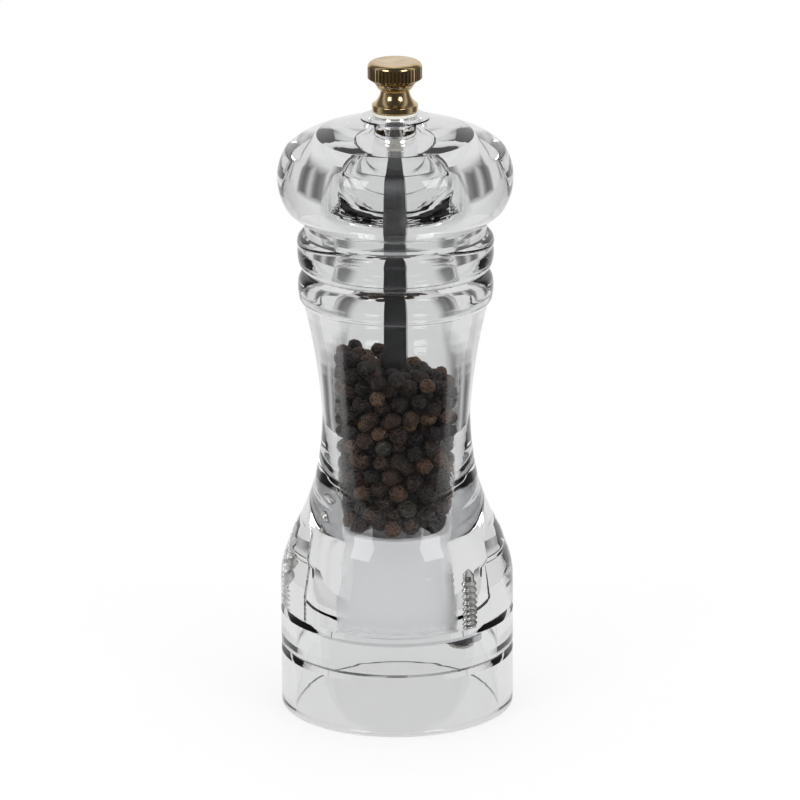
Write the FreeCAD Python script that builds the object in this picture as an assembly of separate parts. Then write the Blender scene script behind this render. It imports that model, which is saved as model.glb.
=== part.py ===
"""Pepper mill with a turned clear barrel, a pull-off head and a cone grinder in its foot.

Millimetres. The origin is the centre of the foot, +Z runs up the mill's axis, and -Y is the front.
The head, the square rod and the grinding cone turn together inside the barrel. The knob on the
rod's thread draws the cone up into the ring for a finer grind. Each piece is a STEP file in parts/.
"""
import FreeCAD
import Part
import math
import os

V = FreeCAD.Vector

# ---- barrel -------------------------------------------------------------------------------
BASE_R = 28.5            # foot drum, outside
BARREL_H = 119.3         # foot to the shoulder under the head
BORE_R = 15.0            # hopper bore
RECESS_R = 24.6          # hollow in the foot that the grounds fall through
RECESS_DEPTH = 24.0
DRUM_H = 32.0            # straight part of the foot
FOOT_EDGE = 0.6
GROOVE_HEIGHTS = (15.0, 25.2)
GROOVE_DEPTH = 1.1
WAIST_R = 18.0
WAIST_Z = 74.0
NECK_R = 22.3            # where the waist runs out under the beads
NECK_BELOW = 17.3        # that place, below the shoulder
BEAD_R = 23.4
BEAD_GROOVE_R = 21.8     # groove between the two beads
SPIGOT_WALL = 2.9        # collar that centres the head, beyond the bore
SPIGOT_H = 3.6
SPIGOT_CHAMFER = 0.5

# ---- head ---------------------------------------------------------------------------------
HEAD_R = 28.4            # widest place of the bun
HEAD_H = 27.9            # underside to the foot of its crown
HEAD_NECK_R = 22.0
HEAD_NECK_H = 2.8
HEAD_CEILING = 21.4      # inside ceiling above the underside
CROWN_R = 8.3
CROWN_H = 1.0
HUB_R = 6.6              # boss that hangs from the ceiling and takes the rod
HUB_DROP = 4.4
HUB_SQUARE_H = 2.9       # height of the square hole in its lower end
WELL_R = 4.45            # round hole from there up through the crown
ROD_ABOVE_CEILING = 2.4  # how far the rod's square end stands up in that hole

# ---- drive rod ----------------------------------------------------------------------------
ROD = 5.2                # square section
ROD_TWIST = -5.0         # degrees that the rod's flats stand turned from the mill's front
STUD_R = 2.4             # threaded top, outside
STUD_H = 13.6
THREAD_PITCH = 0.8
THREAD_DEPTH = 0.35
JOURNAL_R = 2.4          # round lower end
JOURNAL_H = 5.4
CLIP_GROOVE_R = 1.8
CLIP_GROOVE_W = 0.9

# ---- knob ---------------------------------------------------------------------------------
KNOB_R = 6.55
KNOB_H = 12.1
KNOB_FOOT_R = 5.55
KNOB_FOOT_H = 1.5
KNOB_NECK_R = 3.45
KNOB_NECK_Z = 4.95       # neck above the knob's foot
RIM_Z = 8.1              # lower edge of the knurled rim
RIM_H = 2.6
RIM_BEVEL = 1.2          # knurled bevel under the rim
KNURLS = 44
KNURL_DEPTH = 0.35
KNOB_HOLE_DEPTH = 10.0
WASHER_R = 5.4
WASHER_T = 0.7

# ---- grinder ------------------------------------------------------------------------------
HOUSING_H = 21.0         # cup above the recess ceiling
HOUSING_WALL = 1.5
FLANGE_R = 23.2
FLANGE_T = 2.2
BRIDGE_T = 3.0           # three-armed bridge across the cup
BRIDGE_BELOW_RIM = 2.0
BRIDGE_HUB_R = 7.3
BRIDGE_ARM_W = 3.0
RING_H = 12.0
RING_SEAT_WALL = 1.85    # housing outside the grinding ring
RING_LIP = 1.0           # ring's own wall where the corns fall in
RING_BODY = 3.0          # and at its narrowest place, at the top of the fine teeth
CONE_H = 9.0
CONE_TOP_R = 5.8
GRIND_GAP = 0.6          # cone to ring across the fine teeth, on the radius
SKIRT_H = 3.0            # height of the fine teeth
SKIRT_FLARE = 1.3        # that cone and ring widen over them, going down
COARSE_TEETH = 9
FINE_TEETH = 32
TOOTH_SLANT = 32.0       # degrees that the coarse teeth lean
COARSE_DEPTH = 1.2
FINE_DEPTH = 0.5
BUSH_R = 4.7
BUSH_FLANGE_R = 6.4
BUSH_FLANGE_T = 1.2
SPRING_WIRE_R = 0.45
SPRING_COILS = 4
THRUST_R = 5.6
THRUST_T = 0.7
CLIP_R = 4.3
CLIP_T = 0.7
BAR_W = 11.0
BAR_T = 1.6
BAR_END = 4.4            # bar beyond the screw's axis
SCREW_R = 1.75
SCREW_THREAD_PITCH = 1.3
SCREW_DEPTH = 13.0       # thread engaged in the barrel
SCREW_HEAD_R = 3.1
SCREW_HEAD_H = 2.0
SCREW_EDGE = 4.0         # screw axis outside the hopper bore
SCREW_TURN = 52.0        # degrees of the screws round from the front

# ---- filling ------------------------------------------------------------------------------
FILL_HIGH = 98.0         # top of the heap at its left edge
FILL_LOW = 86.0          # and at its right edge

# ---- clearances ---------------------------------------------------------------------------
SEAT = 0.3               # between faces of pieces that rest on each other and move apart
WASHER_GAP = 0.15        # each side of the knob's washer
RUNNING = 0.08           # round pieces that turn in a hole, on the radius
SLIDING = 0.12           # square rod in a square hole, each side
THREAD_PLAY = 0.25       # thread in the knob, on the radius
FILL_GAP = 0.3           # heap to the bore
HOUSING_GAP = 0.25       # housing to the bore
ROD_ROOM = 0.5           # heap to the rod's corners

# ---- places that follow -------------------------------------------------------------------
SPIGOT_R = BORE_R + SPIGOT_WALL
SPIGOT_TOP = BARREL_H + SPIGOT_H
HEAD_Z = BARREL_H + SEAT
CEILING_Z = HEAD_Z + HEAD_CEILING
HUB_Z = CEILING_Z - HUB_DROP
SQUARE_TOP = HUB_Z + HUB_SQUARE_H
CROWN_Z = HEAD_Z + HEAD_H + CROWN_H
WASHER_Z = CROWN_Z + WASHER_GAP
KNOB_Z = WASHER_Z + WASHER_T + WASHER_GAP
FLANGE_Z = RECESS_DEPTH - FLANGE_T
BAR_Z = FLANGE_Z - BAR_T
HOUSING_TOP = RECESS_DEPTH + HOUSING_H
BRIDGE_TOP = HOUSING_TOP - BRIDGE_BELOW_RIM
BRIDGE_Z = BRIDGE_TOP - BRIDGE_T
BUSH_Z = BRIDGE_Z - SEAT - BUSH_FLANGE_T
RING_Z = RECESS_DEPTH + SEAT
CONE_Z = RING_Z
CONE_TOP = CONE_Z + CONE_H
THRUST_Z = CONE_Z - THRUST_T
CLIP_Z = THRUST_Z - CLIP_T - (CLIP_GROOVE_W - CLIP_T) / 2
ROD_Z = CONE_Z
JOURNAL_Z = ROD_Z - JOURNAL_H
ROD_TOP = CEILING_Z + ROD_ABOVE_CEILING
SCREW_CIRCLE_R = BORE_R + SCREW_EDGE
HOUSING_R = BORE_R - HOUSING_GAP
RING_R = HOUSING_R - RING_SEAT_WALL
RING_TOP_R = RING_R - RING_LIP
RING_THROAT_R = RING_R - RING_BODY
ROD_CORNER_R = ROD / math.sqrt(2)


def turned(corners):
    """Solid of revolution about Z from one closed half section.

    A corner is (radius, height) or (radius, height, swell). Swell bends the line that reaches
    the corner into an arc: its rise over half its chord, positive outwards when drawn upwards.
    """
    edges = []
    for start, end in zip(corners, corners[1:] + corners[:1]):
        a = V(start[0], 0, start[1])
        b = V(end[0], 0, end[1])
        swell = end[2] if len(end) > 2 else 0
        if swell:
            across = V(b.z - a.z, 0, a.x - b.x)
            middle = (a + b) * 0.5 + across * (swell / 2)
            edges.append(Part.Arc(a, middle, b).toShape())
        else:
            edges.append(Part.makeLine(a, b))
    face = Part.Face(Part.Wire(edges))
    solid = face.revolve(V(0, 0, 0), V(0, 0, 1), 360)
    return solid if solid.Volume > 0 else solid.reversed()


def ring(inner, outer, low, high):
    return turned([(inner, low), (outer, low), (outer, high), (inner, high)])


def disc(radius, low, high, x=0.0, y=0.0):
    return Part.makeCylinder(radius, high - low, V(x, y, low))


def square(side, low, high):
    """Square bar on the axis, its flats turned as the rod's are."""
    bar = Part.makeBox(side, side, high - low, V(-side / 2, -side / 2, low))
    bar.rotate(V(0, 0, 0), V(0, 0, 1), ROD_TWIST)
    return bar


def screw_places():
    angle = math.radians(SCREW_TURN)
    x = SCREW_CIRCLE_R * math.sin(angle)
    y = -SCREW_CIRCLE_R * math.cos(angle)
    return [(x, y), (-x, -y)]


def ridges(core, crest, low, high, pitch):
    """Thread drawn as rings: a half section's outer line from low to high."""
    line = [(core, low)]
    turns = int((high - low) / pitch)
    for turn in range(turns):
        z = low + turn * pitch
        line += [(crest, z + pitch * 0.45), (crest, z + pitch * 0.55), (core, z + pitch)]
    if high - line[-1][1] > 0.01:
        line.append((core, high))
    return line


def barrel():
    neck_z = BARREL_H - NECK_BELOW
    outside = [(RECESS_R, 0), (BASE_R - FOOT_EDGE, 0), (BASE_R, FOOT_EDGE, 0.4)]
    for z in GROOVE_HEIGHTS:
        outside += [(BASE_R, z - GROOVE_DEPTH), (BASE_R - GROOVE_DEPTH, z), (BASE_R, z + GROOVE_DEPTH)]
    outside += [
        (BASE_R, DRUM_H),
        (BASE_R - 1.9, DRUM_H + 8.5, 0.11),
        (BASE_R - 4.9, DRUM_H + 15.5, 0.08),
        (WAIST_R + 1.9, WAIST_Z - 16.5, -0.04),
        (WAIST_R, WAIST_Z, -0.055),
        (NECK_R, neck_z, -0.045),
        (BEAD_R, neck_z + 2.3, 0.25),
        (BEAD_R, BARREL_H - 11.0, 0.12),
        (BEAD_GROOVE_R, BARREL_H - 9.1, 0.2),
        (BEAD_R, BARREL_H - 7.1, 0.2),
        (BEAD_R + 0.2, BARREL_H - 2.8, 0.1),
        (BEAD_R - 0.8, BARREL_H, 0.4),
    ]
    spigot = [
        (SPIGOT_R, BARREL_H),
        (SPIGOT_R, SPIGOT_TOP - SPIGOT_CHAMFER),
        (SPIGOT_R - SPIGOT_CHAMFER, SPIGOT_TOP),
    ]
    inside = [
        (BORE_R, SPIGOT_TOP),
        (BORE_R, RECESS_DEPTH),
        (RECESS_R, RECESS_DEPTH),
    ]
    body = turned(outside + spigot + inside)
    for x, y in screw_places():
        body = body.cut(disc(SCREW_R + RUNNING, RECESS_DEPTH - 1, RECESS_DEPTH + SCREW_DEPTH + 1, x, y))
    return body


def head():
    top = HEAD_Z + HEAD_H
    bore = SPIGOT_R + RUNNING
    bun = turned([
        (bore, HEAD_Z),
        (HEAD_NECK_R, HEAD_Z),
        (HEAD_NECK_R, HEAD_Z + HEAD_NECK_H),
        (HEAD_R - 2.2, HEAD_Z + HEAD_NECK_H + 3.2, 0.06),
        (HEAD_R, HEAD_Z + HEAD_NECK_H + 10.6, 0.14),
        (HEAD_R - 2.1, top - 7.3, 0.16),
        (HEAD_R - 7.9, top - 3.7, 0.09),
        (CROWN_R + 5.2, top - 1.4, 0.04),
        (CROWN_R, top, 0.02),
        (CROWN_R, top + CROWN_H - 0.5),
        (CROWN_R - 1.8, top + CROWN_H, 0.2),
        (WELL_R, top + CROWN_H),
        (WELL_R, SQUARE_TOP),
        (0, SQUARE_TOP),
        (0, HUB_Z),
        (HUB_R, HUB_Z),
        (HUB_R, CEILING_Z),
        (bore, CEILING_Z),
    ])
    return bun.cut(square(ROD + 2 * SLIDING, HUB_Z - 1, SQUARE_TOP + 1))


def knob():
    foot = KNOB_Z
    hole = STUD_R + THREAD_PLAY
    body = turned([
        (hole, foot),
        (KNOB_FOOT_R - 0.3, foot),
        (KNOB_FOOT_R, foot + 0.3),
        (KNOB_FOOT_R, foot + KNOB_FOOT_H),
        (KNOB_FOOT_R - 0.25, foot + KNOB_FOOT_H + 0.2, 0.3),
        (KNOB_NECK_R, foot + KNOB_NECK_Z, -0.2),
        (KNOB_R - 1.7, foot + RIM_Z - RIM_BEVEL, 0.17),
        (KNOB_R, foot + RIM_Z),
        (KNOB_R, foot + RIM_Z + RIM_H),
        (KNOB_R - 1.2, foot + KNOB_H, 0.35),
        (0, foot + KNOB_H),
        (0, foot + KNOB_HOLE_DEPTH),
        (hole, foot + KNOB_HOLE_DEPTH),
    ])
    half = math.pi * KNOB_R / KNURLS * 0.96
    deep = KNOB_R - KNURL_DEPTH
    levels = [
        (deep - 1.7, foot + RIM_Z - RIM_BEVEL - 0.1),
        (deep, foot + RIM_Z),
        (deep, foot + RIM_Z + RIM_H + 0.4),
    ]
    notch = Part.makeLoft([
        Part.makePolygon([
            V(r, 0, z), V(r + KNURL_DEPTH + 0.2, -half, z), V(r + KNURL_DEPTH + 0.2, half, z), V(r, 0, z)
        ])
        for r, z in levels
    ], True, True)
    notches = []
    for step in range(KNURLS):
        cutter = notch.copy()
        cutter.rotate(V(0, 0, 0), V(0, 0, 1), 360 * step / KNURLS)
        notches.append(cutter)
    return body.cut(Part.makeCompound(notches))


def knob_washer():
    return ring(STUD_R + THREAD_PLAY, WASHER_R, WASHER_Z, WASHER_Z + WASHER_T)


def drive_rod():
    stud_top = ROD_TOP + STUD_H
    stud = turned(
        [(0, ROD_TOP - 1)]
        + ridges(STUD_R - THREAD_DEPTH, STUD_R, ROD_TOP - 1, stud_top - 0.6, THREAD_PITCH)
        + [(STUD_R - 0.9, stud_top), (0, stud_top)]
    )
    journal = turned([
        (0, JOURNAL_Z),
        (JOURNAL_R - 0.4, JOURNAL_Z),
        (JOURNAL_R, JOURNAL_Z + 0.4),
        (JOURNAL_R, THRUST_Z - CLIP_GROOVE_W),
        (CLIP_GROOVE_R, THRUST_Z - CLIP_GROOVE_W),
        (CLIP_GROOVE_R, THRUST_Z),
        (JOURNAL_R, THRUST_Z),
        (JOURNAL_R, ROD_Z + 1),
        (0, ROD_Z + 1),
    ])
    return square(ROD, ROD_Z, ROD_TOP).fuse([stud, journal]).removeSplitter()


def around(cutter, count):
    copies = []
    for step in range(count):
        copy = cutter.copy()
        copy.rotate(V(0, 0, 0), V(0, 0, 1), 360 * step / count)
        copies.append(copy)
    return Part.makeCompound(copies)


def notch(point, base, low, high, leans=(0, 0)):
    """V-shaped cutter along Z: its edge stands at the radius point, its back at the radius base.

    Leans are degrees: how far the edge tips out going up, and how far it slants round the axis.
    """
    half = abs(base - point) * 0.7
    face = Part.Face(Part.makePolygon([
        V(point, 0, low), V(base, -half, low), V(base, half, low), V(point, 0, low)]))
    cutter = face.extrude(V(0, 0, high - low))
    middle = V(point, 0, (low + high) / 2)
    cutter.rotate(middle, V(0, 1, 0), leans[0])
    cutter.rotate(middle, V(1, 0, 0), leans[1])
    return cutter


def grinding_cone():
    narrow = RING_THROAT_R - GRIND_GAP
    skirt_top = CONE_Z + SKIRT_H
    blank = turned([
        (0, CONE_Z),
        (narrow + SKIRT_FLARE, CONE_Z),
        (narrow, skirt_top),
        (CONE_TOP_R, CONE_TOP),
        (0, CONE_TOP),
    ])
    flare = math.degrees(math.atan2(SKIRT_FLARE, SKIRT_H))
    middle_r = narrow + SKIRT_FLARE / 2
    fine = notch(middle_r - FINE_DEPTH, middle_r + 1, CONE_Z - 2, skirt_top + 0.6, (-flare, 0))
    feed = math.degrees(math.atan2(narrow - CONE_TOP_R, CONE_TOP - skirt_top))
    feed_r = (narrow + CONE_TOP_R) / 2
    coarse = notch(feed_r - COARSE_DEPTH, feed_r + 2, skirt_top - 1, CONE_TOP + 3, (-feed, TOOTH_SLANT))
    blank = blank.cut(around(fine, FINE_TEETH))
    for step in range(COARSE_TEETH):
        cutter = coarse.copy()
        cutter.rotate(V(0, 0, 0), V(0, 0, 1), 360 * step / COARSE_TEETH)
        blank = blank.cut(cutter)
    return blank.cut(square(ROD + 2 * SLIDING, CONE_Z - 1, CONE_TOP + 1))


def grinding_ring():
    skirt_top = RING_Z + SKIRT_H
    top = RING_Z + RING_H
    blank = turned([
        (RING_THROAT_R + SKIRT_FLARE, RING_Z),
        (RING_R, RING_Z),
        (RING_R, top),
        (RING_TOP_R, top),
        (RING_THROAT_R, skirt_top),
    ])
    flare = math.degrees(math.atan2(SKIRT_FLARE, SKIRT_H))
    middle_r = RING_THROAT_R + SKIRT_FLARE / 2
    fine = notch(middle_r + FINE_DEPTH, middle_r - 1, RING_Z - 2, skirt_top + 0.6, (-flare, 0))
    feed = math.degrees(math.atan2(RING_TOP_R - RING_THROAT_R, RING_H - SKIRT_H))
    feed_r = (RING_THROAT_R + RING_TOP_R) / 2
    coarse = notch(feed_r + FINE_DEPTH, feed_r - 2, skirt_top - 1, top + 2, (feed, -TOOTH_SLANT))
    return blank.cut(around(fine, FINE_TEETH)).cut(around(coarse, COARSE_TEETH))


def mill_housing():
    inner = HOUSING_R - HOUSING_WALL
    cup = turned([
        (RING_R, FLANGE_Z),
        (FLANGE_R, FLANGE_Z),
        (FLANGE_R, RECESS_DEPTH - 0.1),
        (HOUSING_R, RECESS_DEPTH - 0.1),
        (HOUSING_R, HOUSING_TOP - 0.5),
        (HOUSING_R - 0.5, HOUSING_TOP, 0.4),
        (inner, HOUSING_TOP),
        (inner, RING_Z + RING_H + 0.4),
        (RING_R, RING_Z + RING_H),
    ])
    arms = []
    for arm in range(3):
        beam = Part.makeBox(inner + 0.5, BRIDGE_ARM_W, BRIDGE_T, V(0, -BRIDGE_ARM_W / 2, BRIDGE_Z))
        beam.rotate(V(0, 0, 0), V(0, 0, 1), 60 + 120 * arm)
        arms.append(beam)
    body = cup.fuse(arms + [disc(BRIDGE_HUB_R, BRIDGE_Z, BRIDGE_TOP)])
    body = body.cut(disc(BUSH_R + RUNNING, BRIDGE_Z - 1, BRIDGE_TOP + 1))
    for x, y in screw_places():
        body = body.cut(disc(SCREW_R + SEAT, FLANGE_Z - 1, RECESS_DEPTH + 1, x, y))
    return body.removeSplitter()


def guide_bush():
    blank = turned([
        (0, BUSH_Z),
        (BUSH_FLANGE_R, BUSH_Z),
        (BUSH_FLANGE_R, BUSH_Z + BUSH_FLANGE_T),
        (BUSH_R, BUSH_Z + BUSH_FLANGE_T),
        (BUSH_R, BRIDGE_TOP + SEAT),
        (0, BRIDGE_TOP + SEAT),
    ])
    return blank.cut(square(ROD + 2 * SLIDING, BUSH_Z - 1, BRIDGE_TOP + 1))


def spring():
    """Coil between the bush and the cone, with a gap of SEAT at each end."""
    low = CONE_TOP + SEAT + SPRING_WIRE_R
    high = BUSH_Z - SEAT - SPRING_WIRE_R
    coil_r = ROD_CORNER_R + SPRING_WIRE_R + SEAT + 0.2
    path = Part.makeHelix((high - low) / SPRING_COILS, high - low, coil_r)
    path.translate(V(0, 0, low))
    wire = Part.Wire(Part.makeCircle(SPRING_WIRE_R, V(coil_r, 0, low), V(0, 1, 0)))
    return Part.Wire(path.Edges).makePipeShell([wire], True, True)


def thrust_washer():
    return ring(JOURNAL_R + RUNNING, THRUST_R, THRUST_Z + 0.05, CONE_Z - 0.05)


def retaining_clip():
    low = CLIP_Z
    body = ring(CLIP_GROOVE_R + 0.05, CLIP_R, low, low + CLIP_T)
    slot = Part.makeBox(CLIP_R + 1, 2 * CLIP_GROOVE_R - 0.6, CLIP_T + 2, V(0, 0.3 - CLIP_GROOVE_R, low - 1))
    ears = []
    for angle in (120, 240):
        x = CLIP_GROOVE_R * 1.25 * math.cos(math.radians(angle))
        y = CLIP_GROOVE_R * 1.25 * math.sin(math.radians(angle))
        ears.append(disc(0.75, low - 1, low + CLIP_T + 1, x, y))
    return body.cut(Part.makeCompound([slot] + ears))


def retaining_bar():
    half = SCREW_CIRCLE_R + BAR_END
    round_r = BAR_W / 2
    blank = Part.makeBox(2 * (half - round_r), BAR_W, BAR_T, V(round_r - half, -round_r, BAR_Z - 0.1))
    ends = [disc(round_r, BAR_Z - 0.1, BAR_Z + BAR_T - 0.1, side * (half - round_r)) for side in (1, -1)]
    bar = blank.fuse(ends).removeSplitter()
    bar.rotate(V(0, 0, 0), V(0, 0, 1), SCREW_TURN - 90)
    bar = bar.cut(disc(JOURNAL_R + RUNNING, BAR_Z - 1, BAR_Z + BAR_T + 1))
    for x, y in screw_places():
        bar = bar.cut(disc(SCREW_R + SEAT, BAR_Z - 1, BAR_Z + BAR_T + 1, x, y))
    return bar


def plate_screws():
    under = BAR_Z - 0.2
    tip = RECESS_DEPTH + SCREW_DEPTH
    screw = turned(
        [(0, under - SCREW_HEAD_H), (SCREW_HEAD_R - 1.0, under - SCREW_HEAD_H)]
        + [(SCREW_HEAD_R, under - SCREW_HEAD_H * 0.35, 0.35), (SCREW_HEAD_R, under)]
        + ridges(SCREW_R - 0.45, SCREW_R, under, tip - 1.5, SCREW_THREAD_PITCH)
        + [(0.25, tip), (0, tip)]
    )
    for turn in (0, 90):
        slot = Part.makeBox(3.4, 0.8, 1.1, V(-1.7, -0.4, under - SCREW_HEAD_H - 0.1))
        slot.rotate(V(0, 0, 0), V(0, 0, 1), turn + 20)
        screw = screw.cut(slot)
    pair = []
    for x, y in screw_places():
        one = screw.copy()
        one.translate(V(x, y, 0))
        pair.append(one)
    return Part.makeCompound(pair)


def peppercorns():
    """Plain solid for the heap of peppercorns, with a slanting top and a hole for the rod."""
    heap = ring(ROD_CORNER_R + ROD_ROOM, BORE_R - FILL_GAP, HOUSING_TOP + SEAT, FILL_HIGH + 1)
    slope = math.degrees(math.atan2(FILL_HIGH - FILL_LOW, 2 * BORE_R))
    above = Part.makeBox(8 * BORE_R, 8 * BORE_R, 4 * BORE_R, V(-4 * BORE_R, -4 * BORE_R, 0))
    above.rotate(V(0, 0, 0), V(0, 1, 0), slope)
    above.translate(V(0, 0, (FILL_HIGH + FILL_LOW) / 2))
    return heap.cut(above)


PIECES = [
    barrel, head, knob, knob_washer, drive_rod, mill_housing, guide_bush, spring, grinding_ring,
    grinding_cone, thrust_washer, retaining_clip, retaining_bar, plate_screws, peppercorns,
]

os.makedirs("parts", exist_ok=True)
for piece in PIECES:
    shape = piece()
    shape.exportStep("parts/" + piece.__name__ + ".step")
    box = shape.BoundBox
    print(f"{piece.__name__:16s} solids {len(shape.Solids)} valid {shape.isValid()} "
          f"volume {shape.Volume:9.1f}  z {box.ZMin:7.2f} to {box.ZMax:7.2f}")
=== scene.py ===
"""A clear acrylic pepper mill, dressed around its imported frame: metres, +Z up, -Y to the front."""
import bpy
import math
import random
import numpy as np
from mathutils import Matrix, Vector


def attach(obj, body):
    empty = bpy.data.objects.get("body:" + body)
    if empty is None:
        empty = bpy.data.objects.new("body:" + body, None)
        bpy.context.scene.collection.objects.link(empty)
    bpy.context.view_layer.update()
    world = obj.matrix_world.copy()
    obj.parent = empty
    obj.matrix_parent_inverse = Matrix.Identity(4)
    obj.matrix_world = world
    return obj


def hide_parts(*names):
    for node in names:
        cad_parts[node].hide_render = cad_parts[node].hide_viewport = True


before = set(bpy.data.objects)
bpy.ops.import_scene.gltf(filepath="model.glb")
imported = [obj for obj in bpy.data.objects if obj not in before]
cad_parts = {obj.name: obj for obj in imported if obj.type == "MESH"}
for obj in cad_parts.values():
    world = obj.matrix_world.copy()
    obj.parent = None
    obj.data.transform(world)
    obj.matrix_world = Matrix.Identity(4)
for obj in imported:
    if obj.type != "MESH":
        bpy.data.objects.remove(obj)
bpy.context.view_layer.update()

# ---------------------------------------------------------------------------------------------
# Barrel. One piece of clear acrylic bar, turned outside, bored through for the corns and
# counterbored in the foot. Turning leaves it polished, with the faintest waves.
# ---------------------------------------------------------------------------------------------
MM = 0.001
BASE_R = 28.5
BORE_R = 15.0
RECESS_R = 24.6
RECESS_DEPTH = 24.0
BARREL_H = 119.3
SPIGOT_R = 17.9
SPIGOT_TOP = 122.9
DRUM_H = 32.0
WAIST_R, WAIST_Z = 18.0, 74.0
BEAD_R = 23.4
V_GROOVES = (15.0, 25.2)
V_DEPTH = 1.1
LATHE_STEPS = 180


def bent(corners):
    """Outline through (radius, height) corners. A third number swells the line that reaches the
    corner into an arc: its rise over half its chord, outwards when drawn upwards."""
    line = [Vector((corners[0][0], 0, corners[0][1]))]
    for corner in corners[1:]:
        start, end = line[-1].copy(), Vector((corner[0], 0, corner[1]))
        swell = corner[2] if len(corner) > 2 else 0
        if not swell:
            line.append(end)
            continue
        chord = end - start
        out = Vector((chord.z, 0, -chord.x)).normalized()
        half = chord.length / 2
        radius = half * (1 + swell * swell) / (2 * abs(swell))
        centre = (start + end) / 2 + out * (half * swell - math.copysign(radius, swell))
        turn = 4 * math.atan(swell)
        steps = max(5, round(chord.length / 0.9))
        for step in range(1, steps + 1):
            spoke = Matrix.Rotation(-turn * step / steps, 4, "Y") @ (start - centre)
            line.append(centre + spoke)
    return [(point.x * MM, point.z * MM) for point in line]


def turned(name, outline, steps=LATHE_STEPS):
    """A closed outline, drawn point by point from one corner and spun about the mill's axis."""
    bpy.ops.object.select_all(action="DESELECT")
    first = outline[0]
    bpy.ops.mesh.primitive_plane_add(size=MM, location=(first[0], 0, first[1]))
    piece = bpy.context.object
    piece.name = name
    bpy.ops.object.mode_set(mode="EDIT")
    bpy.ops.mesh.select_all(action="SELECT")
    bpy.ops.mesh.merge(type="CENTER")
    for here, there in zip(outline, outline[1:] + outline[:1]):
        step = (there[0] - here[0], 0, there[1] - here[1])
        bpy.ops.mesh.extrude_region_move(TRANSFORM_OT_translate={"value": step})
    bpy.ops.mesh.select_all(action="SELECT")
    bpy.ops.mesh.remove_doubles(threshold=1e-7)
    bpy.ops.mesh.spin(steps=steps, angle=2 * math.pi, center=(0, 0, 0), axis=(0, 0, 1))
    bpy.ops.mesh.select_all(action="SELECT")
    bpy.ops.mesh.remove_doubles(threshold=1e-6)
    bpy.ops.mesh.normals_make_consistent(inside=False)
    bpy.ops.object.mode_set(mode="OBJECT")
    bpy.ops.object.transform_apply(location=True, rotation=True, scale=True)
    bpy.ops.object.shade_smooth_by_angle(angle=math.radians(28))
    return piece


def new_material(name):
    material = bpy.data.materials.new(name)
    material.use_nodes = True
    tree = material.node_tree
    return material, tree, tree.nodes["Principled BSDF"]


def node(tree, kind, **settings):
    made = tree.nodes.new(kind)
    for key, value in settings.items():
        if key in made.inputs:
            made.inputs[key].default_value = value
        else:
            setattr(made, key, value)
    return made


def math_node(tree, operation, first, second=0.0, third=0.0):
    made = tree.nodes.new("ShaderNodeMath")
    made.operation = operation
    for socket, value in zip(made.inputs, (first, second, third)):
        if isinstance(value, (int, float)):
            socket.default_value = value
        else:
            tree.links.new(value, socket)
    return made.outputs[0]


def dress(piece, material):
    piece.data.materials.clear()
    piece.data.materials.append(material)


def build_lathe_marks():
    """Node group: the fine rings and slow waves that turning leaves round the mill's axis."""
    group = bpy.data.node_groups.new("lathe marks", "ShaderNodeTree")
    group.interface.new_socket("Rings per mm", in_out="INPUT", socket_type="NodeSocketFloat")
    group.interface.new_socket("Ring share", in_out="INPUT", socket_type="NodeSocketFloat")
    group.interface.new_socket("Height", in_out="OUTPUT", socket_type="NodeSocketFloat")
    group.interface.new_socket("Scuffs", in_out="OUTPUT", socket_type="NodeSocketFloat")
    given = group.nodes.new("NodeGroupInput")
    put = group.nodes.new("NodeGroupOutput")
    place = group.nodes.new("ShaderNodeTexCoord")
    parts = group.nodes.new("ShaderNodeSeparateXYZ")
    group.links.new(place.outputs["Object"], parts.inputs[0])
    square = math_node(group, "MULTIPLY", parts.outputs["X"], parts.outputs["X"])
    square = math_node(group, "MULTIPLY_ADD", parts.outputs["Y"], parts.outputs["Y"], square)
    radius = math_node(group, "SQRT", square)
    along = math_node(group, "ADD", radius, parts.outputs["Z"])
    turns = math_node(group, "MULTIPLY", along, given.outputs["Rings per mm"])
    turns = math_node(group, "MULTIPLY", turns, 1000.0)
    rings = node(group, "ShaderNodeTexNoise", noise_dimensions="1D", Scale=1.0, Detail=2.0)
    group.links.new(turns, rings.inputs["W"])
    waves = node(group, "ShaderNodeTexNoise", Scale=70.0, Detail=1.0)
    group.links.new(place.outputs["Object"], waves.inputs["Vector"])
    mix = node(group, "ShaderNodeMix")
    group.links.new(given.outputs["Ring share"], mix.inputs["Factor"])
    group.links.new(waves.outputs["Fac"], mix.inputs["A"])
    group.links.new(rings.outputs["Fac"], mix.inputs["B"])
    group.links.new(mix.outputs["Result"], put.inputs["Height"])
    scuffs = node(group, "ShaderNodeTexNoise", Scale=900.0, Detail=4.0, Roughness=0.7)
    group.links.new(place.outputs["Object"], scuffs.inputs["Vector"])
    worn = node(group, "ShaderNodeMapRange", **{"From Min": 0.5, "From Max": 0.75})
    group.links.new(scuffs.outputs["Fac"], worn.inputs["Value"])
    group.links.new(worn.outputs["Result"], put.inputs["Scuffs"])
    return group


LATHE_MARKS = build_lathe_marks()


def lathe_marks(tree, rings_per_mm, ring_share, shader, distance, strength):
    """Places the group in a material and feeds its height to the shader's normal."""
    marks = tree.nodes.new("ShaderNodeGroup")
    marks.node_tree = LATHE_MARKS
    marks.inputs["Rings per mm"].default_value = rings_per_mm
    marks.inputs["Ring share"].default_value = ring_share
    bump = node(tree, "ShaderNodeBump", Strength=strength, Distance=distance)
    tree.links.new(marks.outputs["Height"], bump.inputs["Height"])
    tree.links.new(bump.outputs["Normal"], shader.inputs["Normal"])
    return marks


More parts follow.
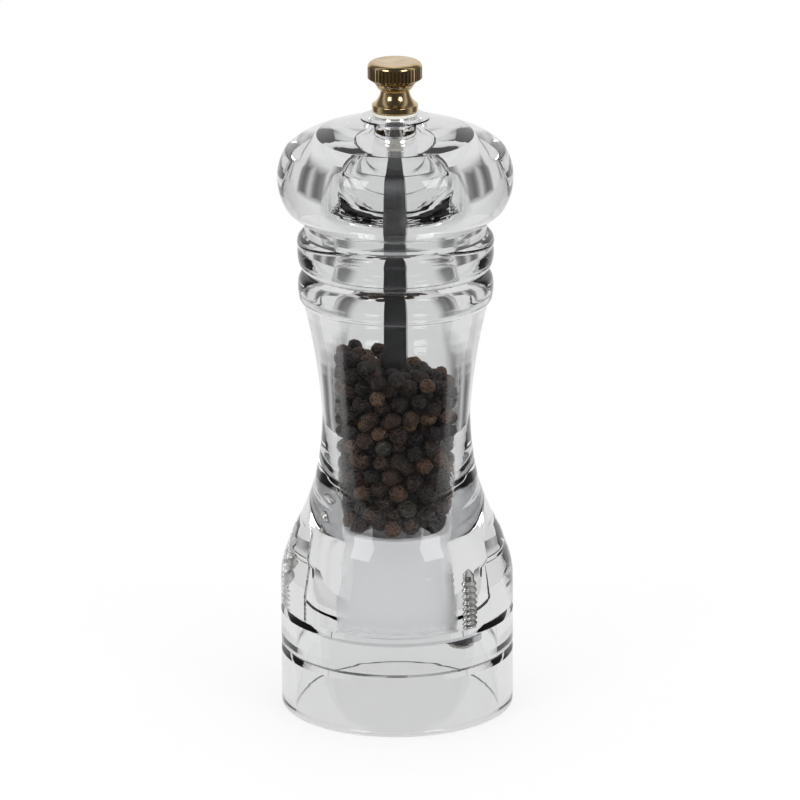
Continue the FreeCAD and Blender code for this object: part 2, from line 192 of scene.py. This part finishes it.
def acrylic_material():
    material, tree, shader = new_material("clear acrylic")
    shader.inputs["Base Color"].default_value = (0.99, 0.995, 0.995, 1)
    shader.inputs["Transmission Weight"].default_value = 1.0
    shader.inputs["IOR"].default_value = 1.49
    shader.inputs["Roughness"].default_value = 0.0
    lathe_marks(tree, 0.25, 0.25, shader, 0.00035, 0.25)
    return material


ACRYLIC = acrylic_material()

barrel_outline = [(RECESS_R, 0.02), (BASE_R - 0.6, 0.02), (BASE_R - 0.02, 0.6, 0.4)]
for groove_z in V_GROOVES:
    barrel_outline += [
        (BASE_R - 0.02, groove_z - V_DEPTH),
        (BASE_R - V_DEPTH, groove_z),
        (BASE_R - 0.02, groove_z + V_DEPTH),
    ]
barrel_outline += [
    (BASE_R - 0.02, DRUM_H),
    (BASE_R - 1.9, DRUM_H + 8.5, 0.11),
    (BASE_R - 4.9, DRUM_H + 15.5, 0.08),
    (WAIST_R + 1.9, WAIST_Z - 16.5, -0.04),
    (WAIST_R, WAIST_Z, -0.055),
    (BEAD_R - 1.1, BARREL_H - 17.3, -0.045),
    (BEAD_R, BARREL_H - 15.0, 0.25),
    (BEAD_R, BARREL_H - 11.0, 0.12),
    (BEAD_R - 1.6, BARREL_H - 9.1, 0.2),
    (BEAD_R, BARREL_H - 7.1, 0.2),
    (BEAD_R + 0.2, BARREL_H - 2.8, 0.1),
    (BEAD_R - 0.8, BARREL_H, 0.4),
    (SPIGOT_R, BARREL_H),
    (SPIGOT_R, SPIGOT_TOP - 0.5),
    (SPIGOT_R - 0.5, SPIGOT_TOP),
    (BORE_R, SPIGOT_TOP),
    (BORE_R, RECESS_DEPTH),
    (RECESS_R, RECESS_DEPTH),
]
barrel = turned("acrylic_barrel", bent(barrel_outline))
dress(barrel, ACRYLIC)
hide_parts("barrel")
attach(barrel, "mill_body")

# ---------------------------------------------------------------------------------------------
# Mill housing. A white nylon cup pushed up the bore, with a flange under the barrel's
# counterbore and a three-armed bridge inside. Moulded, so it is smooth with a soft gloss.
# ---------------------------------------------------------------------------------------------


def nylon_material(name, colour, roughness):
    material, tree, shader = new_material(name)
    shader.inputs["Base Color"].default_value = (*colour, 1)
    shader.inputs["Subsurface Weight"].default_value = 0.15
    shader.inputs["Subsurface Radius"].default_value = (0.002, 0.002, 0.002)
    marks = lathe_marks(tree, 1.5, 0.2, shader, 0.00005, 0.3)
    gloss = node(tree, "ShaderNodeMapRange", **{"To Min": roughness, "To Max": roughness + 0.15})
    tree.links.new(marks.outputs["Scuffs"], gloss.inputs["Value"])
    tree.links.new(gloss.outputs["Result"], shader.inputs["Roughness"])
    return material


WHITE_NYLON = nylon_material("white nylon", (0.90, 0.90, 0.92), 0.28)
dress(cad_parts["mill_housing"], WHITE_NYLON)

# ---------------------------------------------------------------------------------------------
# Grinding ring and cone. Hardened steel, left dark from the furnace. The ring is pressed in the
# housing and the cone rides on the rod.
# ---------------------------------------------------------------------------------------------


def steel_material(name, colour, roughness, brushing):
    """Drawn or turned steel: grain along the mill's axis, with duller patches."""
    material, tree, shader = new_material(name)
    shader.inputs["Metallic"].default_value = 1.0
    place = node(tree, "ShaderNodeTexCoord")
    stretch = node(tree, "ShaderNodeMapping", Scale=(2500.0, 2500.0, brushing))
    tree.links.new(place.outputs["Object"], stretch.inputs["Vector"])
    grain = node(tree, "ShaderNodeTexNoise", Scale=1.0, Detail=3.0)
    tree.links.new(stretch.outputs["Vector"], grain.inputs["Vector"])
    patches = node(tree, "ShaderNodeTexNoise", Scale=140.0, Detail=4.0)
    tree.links.new(place.outputs["Object"], patches.inputs["Vector"])
    tone = node(tree, "ShaderNodeMix", data_type="RGBA")
    tone.inputs["A"].default_value = (*[c * 0.75 for c in colour], 1)
    tone.inputs["B"].default_value = (*[min(1, c * 1.2) for c in colour], 1)
    tree.links.new(patches.outputs["Fac"], tone.inputs["Factor"])
    tree.links.new(tone.outputs["Result"], shader.inputs["Base Color"])
    gloss = node(tree, "ShaderNodeMapRange", **{
        "To Min": roughness * 0.7, "To Max": roughness * 1.4})
    tree.links.new(grain.outputs["Fac"], gloss.inputs["Value"])
    tree.links.new(gloss.outputs["Result"], shader.inputs["Roughness"])
    bump = node(tree, "ShaderNodeBump", Strength=0.2, Distance=0.00004)
    tree.links.new(grain.outputs["Fac"], bump.inputs["Height"])
    tree.links.new(bump.outputs["Normal"], shader.inputs["Normal"])
    return material


HARD_STEEL = steel_material("hardened steel", (0.24, 0.23, 0.23), 0.38, 400.0)
dress(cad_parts["grinding_ring"], HARD_STEEL)
dress(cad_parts["grinding_cone"], HARD_STEEL)

# ---------------------------------------------------------------------------------------------
# Rod, its thrust washer, clip and spring. The rod is drawn square bar with a thread cut on the
# top end and a round journal turned on the bottom end.
# ---------------------------------------------------------------------------------------------
ROD_STEEL = steel_material("drawn steel", (0.50, 0.50, 0.52), 0.22, 60.0)
SPRING_STEEL = steel_material("spring steel", (0.42, 0.42, 0.44), 0.3, 1500.0)
dress(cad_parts["drive_rod"], ROD_STEEL)
for small_part in ("thrust_washer", "retaining_clip", "spring"):
    dress(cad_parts[small_part], SPRING_STEEL)
dress(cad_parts["guide_bush"], WHITE_NYLON)

# ---------------------------------------------------------------------------------------------
# Retaining bar and its two screws. The bar is stamped from steel strip, and the screws are
# bright zinc plated and run up into the acrylic either side of the bore.
# ---------------------------------------------------------------------------------------------
ZINC = steel_material("zinc plate", (0.62, 0.62, 0.60), 0.25, 900.0)
dress(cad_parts["retaining_bar"], ROD_STEEL)
dress(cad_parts["plate_screws"], ZINC)

# ---------------------------------------------------------------------------------------------
# Peppercorns. Whole dried black pepper, 3.9 to 4.6 mm, let down one by one, each into the place
# furthest below the heap's slanting top. Dried skins are wrinkled, brown to black, some reddish.
# ---------------------------------------------------------------------------------------------
HEAP_FLOOR = 45.2
HEAP_R = 14.92
HEAP_LEFT, HEAP_RIGHT = 95.5, 85.0
ROD_HALF = 2.6
CORN_KINDS = 4
TRIES = 500
MISSES = 40
NEAR = 170
CORN_R = (1.95, 2.3)
CORN_TONES = [
    (0.030, 0.021, 0.018), (0.038, 0.024, 0.019), (0.050, 0.029, 0.022), (0.064, 0.036, 0.025),
    (0.105, 0.055, 0.034), (0.054, 0.049, 0.037), (0.125, 0.078, 0.046), (0.022, 0.017, 0.016),
    (0.042, 0.027, 0.023), (0.032, 0.023, 0.020),
]

chance = random.Random(7)
rng = np.random.default_rng(7)


def heap_top(x, y):
    slope = (HEAP_LEFT + HEAP_RIGHT) / 2 - (HEAP_LEFT - HEAP_RIGHT) * x / (2 * HEAP_R)
    return slope + 0.06 * y


def resting_heights(x, y, r, placed):
    """How high corns of radius r come to rest when they are let down at each x, y."""
    heights = np.full(len(x), HEAP_FLOOR + r)
    if len(placed):
        flat = (x[:, None] - placed[:, 0]) ** 2 + (y[:, None] - placed[:, 1]) ** 2
        reach = r + placed[:, 3]
        rise = placed[:, 2] + np.sqrt(np.maximum(reach * reach - flat, 0))
        heights = np.maximum(heights, np.where(flat < reach * reach, rise, 0).max(axis=1))
    return heights


def drop_corns():
    """Lets corns down one at a time, each furthest below the top, then rolls it lower."""
    placed = np.zeros((0, 4))
    misses = 0
    while misses < MISSES:
        r = rng.uniform(*CORN_R)
        near = placed[-NEAR:]
        away = (HEAP_R - r) * np.sqrt(rng.random(TRIES))
        angle = rng.uniform(0, 2 * math.pi, TRIES)
        x, y = away * np.cos(angle), away * np.sin(angle)
        for reach in (0.5, 0.2, 0.08, 0.03):
            clear = (np.maximum(abs(x), abs(y)) > ROD_HALF + r * 0.97) & (
                np.hypot(x, y) <= HEAP_R - r)
            z = np.where(clear, resting_heights(x, y, r, near), 1e6)
            low = int(np.argmin(z - heap_top(x, y)))
            best = (x[low], y[low], z[low], r)
            x = best[0] + rng.normal(0, reach, 120)
            y = best[1] + rng.normal(0, reach, 120)
        if best[2] + r > heap_top(best[0], best[1]):
            misses += 1
            continue
        placed = np.vstack([placed, best])
    return [tuple(float(v) for v in row) for row in placed]


corn_shapes = []
for kind in range(CORN_KINDS):
    bpy.ops.object.select_all(action="DESELECT")
    bpy.ops.mesh.primitive_ico_sphere_add(subdivisions=2, radius=1.0, location=(0, 0, 0))
    shape = bpy.context.object
    bpy.ops.object.mode_set(mode="EDIT")
    bpy.ops.mesh.select_all(action="SELECT")
    bpy.ops.transform.vertex_random(offset=0.09, uniform=0.0, normal=1.0, seed=kind + 3)
    bpy.ops.transform.resize(value=(1.0, 0.94 + 0.03 * kind, 0.96))
    bpy.ops.object.mode_set(mode="OBJECT")
    corn_shapes.append(shape)

corns = []
for x, y, z, r in drop_corns():
    shape = chance.choice(corn_shapes)
    corn = shape.copy()
    corn.data = shape.data.copy()
    bpy.context.scene.collection.objects.link(corn)
    turn = Vector((chance.random(), chance.random(), chance.random())) * 2 * math.pi
    corn.matrix_world = (
        Matrix.Translation(Vector((x, y, z)) * MM)
        @ Matrix.Rotation(turn.x, 4, "X") @ Matrix.Rotation(turn.y, 4, "Y")
        @ Matrix.Rotation(turn.z, 4, "Z") @ Matrix.Scale(r * MM, 4)
    )
    tone = chance.choice(CORN_TONES)
    tint = corn.data.color_attributes.new("skin", "FLOAT_COLOR", "POINT")
    for cell in tint.data:
        cell.color = (*tone, 1)
    corns.append(corn)

bpy.ops.object.select_all(action="DESELECT")
for shape in corn_shapes:
    shape.select_set(True)
bpy.ops.object.delete()
for corn in corns:
    corn.select_set(True)
bpy.context.view_layer.objects.active = corns[0]
bpy.ops.object.join()
heap = bpy.context.object
heap.name = "peppercorn_heap"
bpy.ops.object.transform_apply(location=True, rotation=True, scale=True)
bpy.ops.object.shade_smooth()


def peppercorn_material():
    material, tree, shader = new_material("peppercorn")
    place = node(tree, "ShaderNodeTexCoord")
    skin = node(tree, "ShaderNodeVertexColor", layer_name="skin")
    wrinkles = node(tree, "ShaderNodeTexVoronoi", feature="DISTANCE_TO_EDGE", Scale=900.0)
    bend = node(tree, "ShaderNodeTexNoise", Scale=700.0, Detail=2.0)
    tree.links.new(place.outputs["Object"], bend.inputs["Vector"])
    warp = node(tree, "ShaderNodeVectorMath", operation="MULTIPLY_ADD")
    warp.inputs[1].default_value = (0.0011, 0.0011, 0.0011)
    tree.links.new(bend.outputs["Color"], warp.inputs[0])
    tree.links.new(place.outputs["Object"], warp.inputs[2])
    tree.links.new(warp.outputs[0], wrinkles.inputs["Vector"])
    ridge = node(tree, "ShaderNodeMapRange", **{"From Max": 0.22})
    tree.links.new(wrinkles.outputs["Distance"], ridge.inputs["Value"])
    speck = node(tree, "ShaderNodeTexNoise", Scale=1800.0, Detail=5.0)
    tree.links.new(place.outputs["Object"], speck.inputs["Vector"])
    # Painted light: the skin tone is multiplied by up to 1.9 on the raised wrinkle ridges and by as
    # little as 0.7 in the sunken pits between them. This is a painted highlight and painted shade
    # that follow the bump relief.
    shade = node(tree, "ShaderNodeMix", data_type="RGBA", blend_type="MULTIPLY", Factor=1.0)
    painted_wrinkle_light = node(tree, "ShaderNodeMapRange", **{"To Min": 1.9, "To Max": 0.7})
    tree.links.new(ridge.outputs["Result"], painted_wrinkle_light.inputs["Value"])
    tree.links.new(skin.outputs["Color"], shade.inputs["A"])
    tree.links.new(painted_wrinkle_light.outputs["Result"], shade.inputs["B"])
    dusty = node(tree, "ShaderNodeMix", data_type="RGBA")
    dusty.inputs["B"].default_value = (0.17, 0.14, 0.11, 1)
    dust = node(tree, "ShaderNodeMapRange", **{"From Min": 0.55, "From Max": 0.8, "To Max": 0.5})
    tree.links.new(speck.outputs["Fac"], dust.inputs["Value"])
    tree.links.new(dust.outputs["Result"], dusty.inputs["Factor"])
    tree.links.new(shade.outputs["Result"], dusty.inputs["A"])
    tree.links.new(dusty.outputs["Result"], shader.inputs["Base Color"])
    shader.inputs["Roughness"].default_value = 0.55
    bump = node(tree, "ShaderNodeBump", Strength=0.9, Distance=0.0004)
    bump.invert = True
    tree.links.new(ridge.outputs["Result"], bump.inputs["Height"])
    tree.links.new(bump.outputs["Normal"], shader.inputs["Normal"])
    return material


dress(heap, peppercorn_material())
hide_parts("peppercorns")
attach(heap, "mill_body")

# ---------------------------------------------------------------------------------------------
# Head. A bun of the same acrylic, hollowed from below to fit over the barrel's spigot, with a
# hub left standing in the ceiling that is broached square for the rod.
# ---------------------------------------------------------------------------------------------
HEAD_Z = 119.6
HEAD_TOP = 147.5
HEAD_R = 28.4
HEAD_NECK_R = 22.0
HEAD_BORE_R = 17.98
CEILING_Z = 141.0
HUB_R = 6.6
HUB_Z = 136.6
WELL_R = 4.45
WELL_Z = 139.5
CROWN_R = 8.3
SQUARE_HOLE = 5.44
ROD_TWIST = -5.0


def select_only(piece):
    bpy.ops.object.select_all(action="DESELECT")
    piece.select_set(True)
    bpy.context.view_layer.objects.active = piece


head_outline = [
    (HEAD_BORE_R, HEAD_Z),
    (HEAD_NECK_R, HEAD_Z),
    (HEAD_NECK_R, HEAD_Z + 2.8),
    (HEAD_R - 2.2, HEAD_Z + 6.0, 0.06),
    (HEAD_R - 0.02, HEAD_Z + 13.4, 0.14),
    (HEAD_R - 2.1, HEAD_TOP - 7.3, 0.16),
    (HEAD_R - 7.9, HEAD_TOP - 3.7, 0.09),
    (CROWN_R + 5.2, HEAD_TOP - 1.4, 0.04),
    (CROWN_R, HEAD_TOP, 0.02),
    (CROWN_R, HEAD_TOP + 0.5),
    (CROWN_R - 1.8, HEAD_TOP + 1.0, 0.2),
    (WELL_R, HEAD_TOP + 1.0),
    (WELL_R, WELL_Z),
    (0, WELL_Z),
    (0, HUB_Z),
    (HUB_R, HUB_Z),
    (HUB_R, CEILING_Z),
    (HEAD_BORE_R, CEILING_Z),
]
head = turned("acrylic_head", bent(head_outline))
bpy.ops.object.select_all(action="DESELECT")
bpy.ops.mesh.primitive_cube_add(size=SQUARE_HOLE * MM, location=(0, 0, (HUB_Z + 1.0) * MM))
broach = bpy.context.object
broach.rotation_euler.z = math.radians(ROD_TWIST)
broach.scale.z = 2.0
select_only(head)
bpy.ops.object.modifier_add(type="BOOLEAN")
head.modifiers[-1].object = broach
head.modifiers[-1].solver = "EXACT"
bpy.ops.object.modifier_apply(modifier=head.modifiers[-1].name)
bpy.data.objects.remove(broach)
select_only(head)
bpy.ops.object.shade_smooth_by_angle(angle=math.radians(28))
dress(head, ACRYLIC)
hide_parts("head")
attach(head, "head")

# ---------------------------------------------------------------------------------------------
# Knob and its washer. The knob is turned from brass bar, knurled on the rim, then darkened and
# lacquered, so that its recesses stay brown and its edges shine. A nylon washer is under it.
# ---------------------------------------------------------------------------------------------
PALE_NYLON = nylon_material("pale nylon", (0.80, 0.78, 0.70), 0.3)
dress(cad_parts["knob_washer"], PALE_NYLON)


def brass_material():
    material, tree, shader = new_material("antique brass")
    shader.inputs["Metallic"].default_value = 1.0
    marks = lathe_marks(tree, 3.0, 0.8, shader, 0.00004, 0.5)
    place = node(tree, "ShaderNodeTexCoord")
    patina = node(tree, "ShaderNodeTexNoise", Scale=260.0, Detail=5.0, Roughness=0.6)
    tree.links.new(place.outputs["Object"], patina.inputs["Vector"])
    spread = node(tree, "ShaderNodeMapRange", **{"From Min": 0.35, "From Max": 0.65})
    tree.links.new(patina.outputs["Fac"], spread.inputs["Value"])
    tone = node(tree, "ShaderNodeMix", data_type="RGBA")
    tone.inputs["A"].default_value = (0.50, 0.35, 0.175, 1)
    tone.inputs["B"].default_value = (0.74, 0.56, 0.32, 1)
    tree.links.new(spread.outputs["Result"], tone.inputs["Factor"])
    tree.links.new(tone.outputs["Result"], shader.inputs["Base Color"])
    gloss = node(tree, "ShaderNodeMapRange", **{"To Min": 0.13, "To Max": 0.26})
    tree.links.new(marks.outputs["Scuffs"], gloss.inputs["Value"])
    tree.links.new(gloss.outputs["Result"], shader.inputs["Roughness"])
    return material


dress(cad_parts["knob"], brass_material())

# ---------------------------------------------------------------------------------------------
# Floor, lights and camera. A white sweep, two soft boxes in front and above, and a bright room
# with dark gaps between its panels that draw the edges of the acrylic. Rays turned back once
# towards the front find it dark, which keeps haze off the corns.
# ---------------------------------------------------------------------------------------------
FLOOR_R = 0.19
PANEL_GREY = 0.70
ROOM_LIGHT = 1.1
BOX_SIDE, BOX_FRONT, BOX_UP = 0.92, -1.0, 0.9
BOX_SIZE = (0.6, 0.5)
BOX_WATTS = 4.4
CAMERA_PLACE = (0, -1.32, 0.488)
CAMERA_TURN = (72.7, 0.22, -0.108)
CAMERA_LENS = 255.9


def floor_material():
    material, tree, shader = new_material("white sweep")
    shader.inputs["Base Color"].default_value = (0.85, 0.85, 0.85, 1)
    shader.inputs["Roughness"].default_value = 0.6
    path = node(tree, "ShaderNodeLightPath")
    place = node(tree, "ShaderNodeTexCoord")
    away = node(tree, "ShaderNodeVectorMath", operation="LENGTH")
    tree.links.new(place.outputs["Object"], away.inputs[0])
    fade = node(tree, "ShaderNodeMapRange", **{
        "From Min": 0.03, "From Max": 0.15, "To Min": 0.72, "To Max": 1.0})
    tree.links.new(away.outputs["Value"], fade.inputs["Value"])
    seen = math_node(tree, "MULTIPLY", path.outputs["Is Camera Ray"], fade.outputs["Result"])
    through = math_node(tree, "MULTIPLY", path.outputs["Is Transmission Ray"], 0.85)
    parts = node(tree, "ShaderNodeSeparateXYZ")
    tree.links.new(place.outputs["Object"], parts.inputs[0])
    nearer = math_node(tree, "LESS_THAN", parts.outputs["Y"], -0.03)
    bounced = math_node(tree, "COMPARE", path.outputs["Glossy Depth"], 1.0, 0.5)
    lit = math_node(tree, "LESS_THAN", path.outputs["Diffuse Depth"], 0.5)
    bounced = math_node(tree, "MULTIPLY", math_node(tree, "MULTIPLY", nearer, bounced), lit)
    share = math_node(tree, "MAXIMUM", math_node(tree, "MAXIMUM", seen, through), bounced)
    level = math_node(
        tree, "MULTIPLY_ADD", path.outputs["Is Camera Ray"], 1 - PANEL_GREY, PANEL_GREY)
    dimmed = math_node(tree, "MULTIPLY_ADD", bounced, -0.93, 1.0)
    level = math_node(tree, "MULTIPLY", level, dimmed)
    glow = node(tree, "ShaderNodeEmission")
    tree.links.new(level, glow.inputs["Strength"])
    mix = node(tree, "ShaderNodeMixShader")
    tree.links.new(share, mix.inputs[0])
    tree.links.new(shader.outputs[0], mix.inputs[1])
    tree.links.new(glow.outputs[0], mix.inputs[2])
    tree.links.new(mix.outputs[0], tree.nodes["Material Output"].inputs["Surface"])
    return material


bpy.ops.object.select_all(action="DESELECT")
bpy.ops.mesh.primitive_circle_add(vertices=64, radius=FLOOR_R, fill_type="NGON", location=(0, 0, 0))
floor = bpy.context.object
floor.name = "floor"
dress(floor, floor_material())


def build_world():
    world = bpy.data.worlds.new("studio")
    bpy.context.scene.world = world
    world.use_nodes = True
    tree = world.node_tree
    sky = tree.nodes["Background"]
    place = node(tree, "ShaderNodeTexCoord")
    parts = node(tree, "ShaderNodeSeparateXYZ")
    tree.links.new(place.outputs["Generated"], parts.inputs[0])
    angle = math_node(tree, "ARCTAN2", parts.outputs["X"], parts.outputs["Y"])
    angle = math_node(tree, "ABSOLUTE", angle)
    angle = math_node(tree, "DIVIDE", angle, math.pi)
    folded = math_node(tree, "PINGPONG", angle, 0.25)

    def panels(stops, source):
        ramp = node(tree, "ShaderNodeValToRGB")
        cells = ramp.color_ramp.elements
        cells[0].position, cells[1].position = stops[0][0], stops[-1][0]
        cells[0].color = (*[stops[0][1]] * 3, 1)
        cells[1].color = (*[stops[-1][1]] * 3, 1)
        for where, level in stops[1:-1]:
            cells.new(where).color = (level, level, level, 1)
        tree.links.new(source, ramp.inputs[0])
        return ramp.outputs["Color"]

    through = panels([
        (0, 1), (0.07, 1), (0.11, 0.3), (0.17, 0.13), (0.2, 0.22), (0.235, 0.6), (0.25, 0.7)],
        folded)
    height = math_node(tree, "MULTIPLY_ADD", parts.outputs["Z"], 0.5, 0.5)
    low = panels([(0, 1), (0.22, 1), (0.31, 0), (0.44, 0), (0.49, 1), (1, 1)], height)
    tall = panels([(0, 1), (0.14, 1), (0.22, 0), (0.68, 0), (0.8, 1), (1, 1)], height)
    mirrored = panels([
        (0, 0.9), (0.2, 0.85), (0.26, 0.2), (0.42, 0.12), (0.5, 0.7), (0.6, 0.25), (0.68, 0.08),
        (1.0, 0.06)], angle)
    path = node(tree, "ShaderNodeLightPath")
    gap = math_node(tree, "MAXIMUM", through, low)
    front = panels([(0, 1), (0.42, 1), (0.52, 0.04), (1, 0.04)], angle)
    front = math_node(tree, "MAXIMUM", front, tall)
    once = math_node(tree, "COMPARE", path.outputs["Glossy Depth"], 1.0, 0.5)
    front = math_node(tree, "MAXIMUM", front, math_node(tree, "SUBTRACT", 1.0, once))
    gap = math_node(tree, "MINIMUM", gap, front)
    often = math_node(tree, "GREATER_THAN", path.outputs["Glossy Depth"], 1.5)
    gap = math_node(tree, "MAXIMUM", gap, math_node(tree, "MULTIPLY", often, 0.6))
    gap = math_node(tree, "MULTIPLY", gap, PANEL_GREY)
    room = node(tree, "ShaderNodeMix", data_type="RGBA")
    tree.links.new(path.outputs["Is Transmission Ray"], room.inputs["Factor"])
    tree.links.new(mirrored, room.inputs["A"])
    tree.links.new(gap, room.inputs["B"])
    soft = node(tree, "ShaderNodeMix", data_type="RGBA")
    soft.inputs["B"].default_value = (ROOM_LIGHT, ROOM_LIGHT, ROOM_LIGHT, 1)
    lit = math_node(tree, "GREATER_THAN", path.outputs["Diffuse Depth"], 0.5)
    tree.links.new(lit, soft.inputs["Factor"])
    tree.links.new(room.outputs["Result"], soft.inputs["A"])
    white = node(tree, "ShaderNodeMix", data_type="RGBA")
    white.inputs["B"].default_value = (1, 1, 1, 1)
    tree.links.new(path.outputs["Is Camera Ray"], white.inputs["Factor"])
    tree.links.new(soft.outputs["Result"], white.inputs["A"])
    tree.links.new(white.outputs["Result"], sky.inputs["Color"])


build_world()

for side in (-1, 1):
    bpy.ops.object.light_add(type="AREA", location=(side * BOX_SIDE, BOX_FRONT, BOX_UP))
    box = bpy.context.object
    box.name = "soft box"
    box.data.shape = "RECTANGLE"
    box.data.size, box.data.size_y = BOX_SIZE
    box.data.energy = BOX_WATTS
    box.rotation_euler = (Vector((0, 0, 0.08)) - box.location).to_track_quat("-Z", "Y").to_euler()

bpy.ops.object.camera_add(location=CAMERA_PLACE)
camera = bpy.context.object
camera.rotation_euler = [math.radians(turn) for turn in CAMERA_TURN]
camera.data.sensor_width = 36
camera.data.lens = CAMERA_LENS
bpy.context.scene.camera = camera
bpy.context.scene.view_settings.view_transform = "Standard"
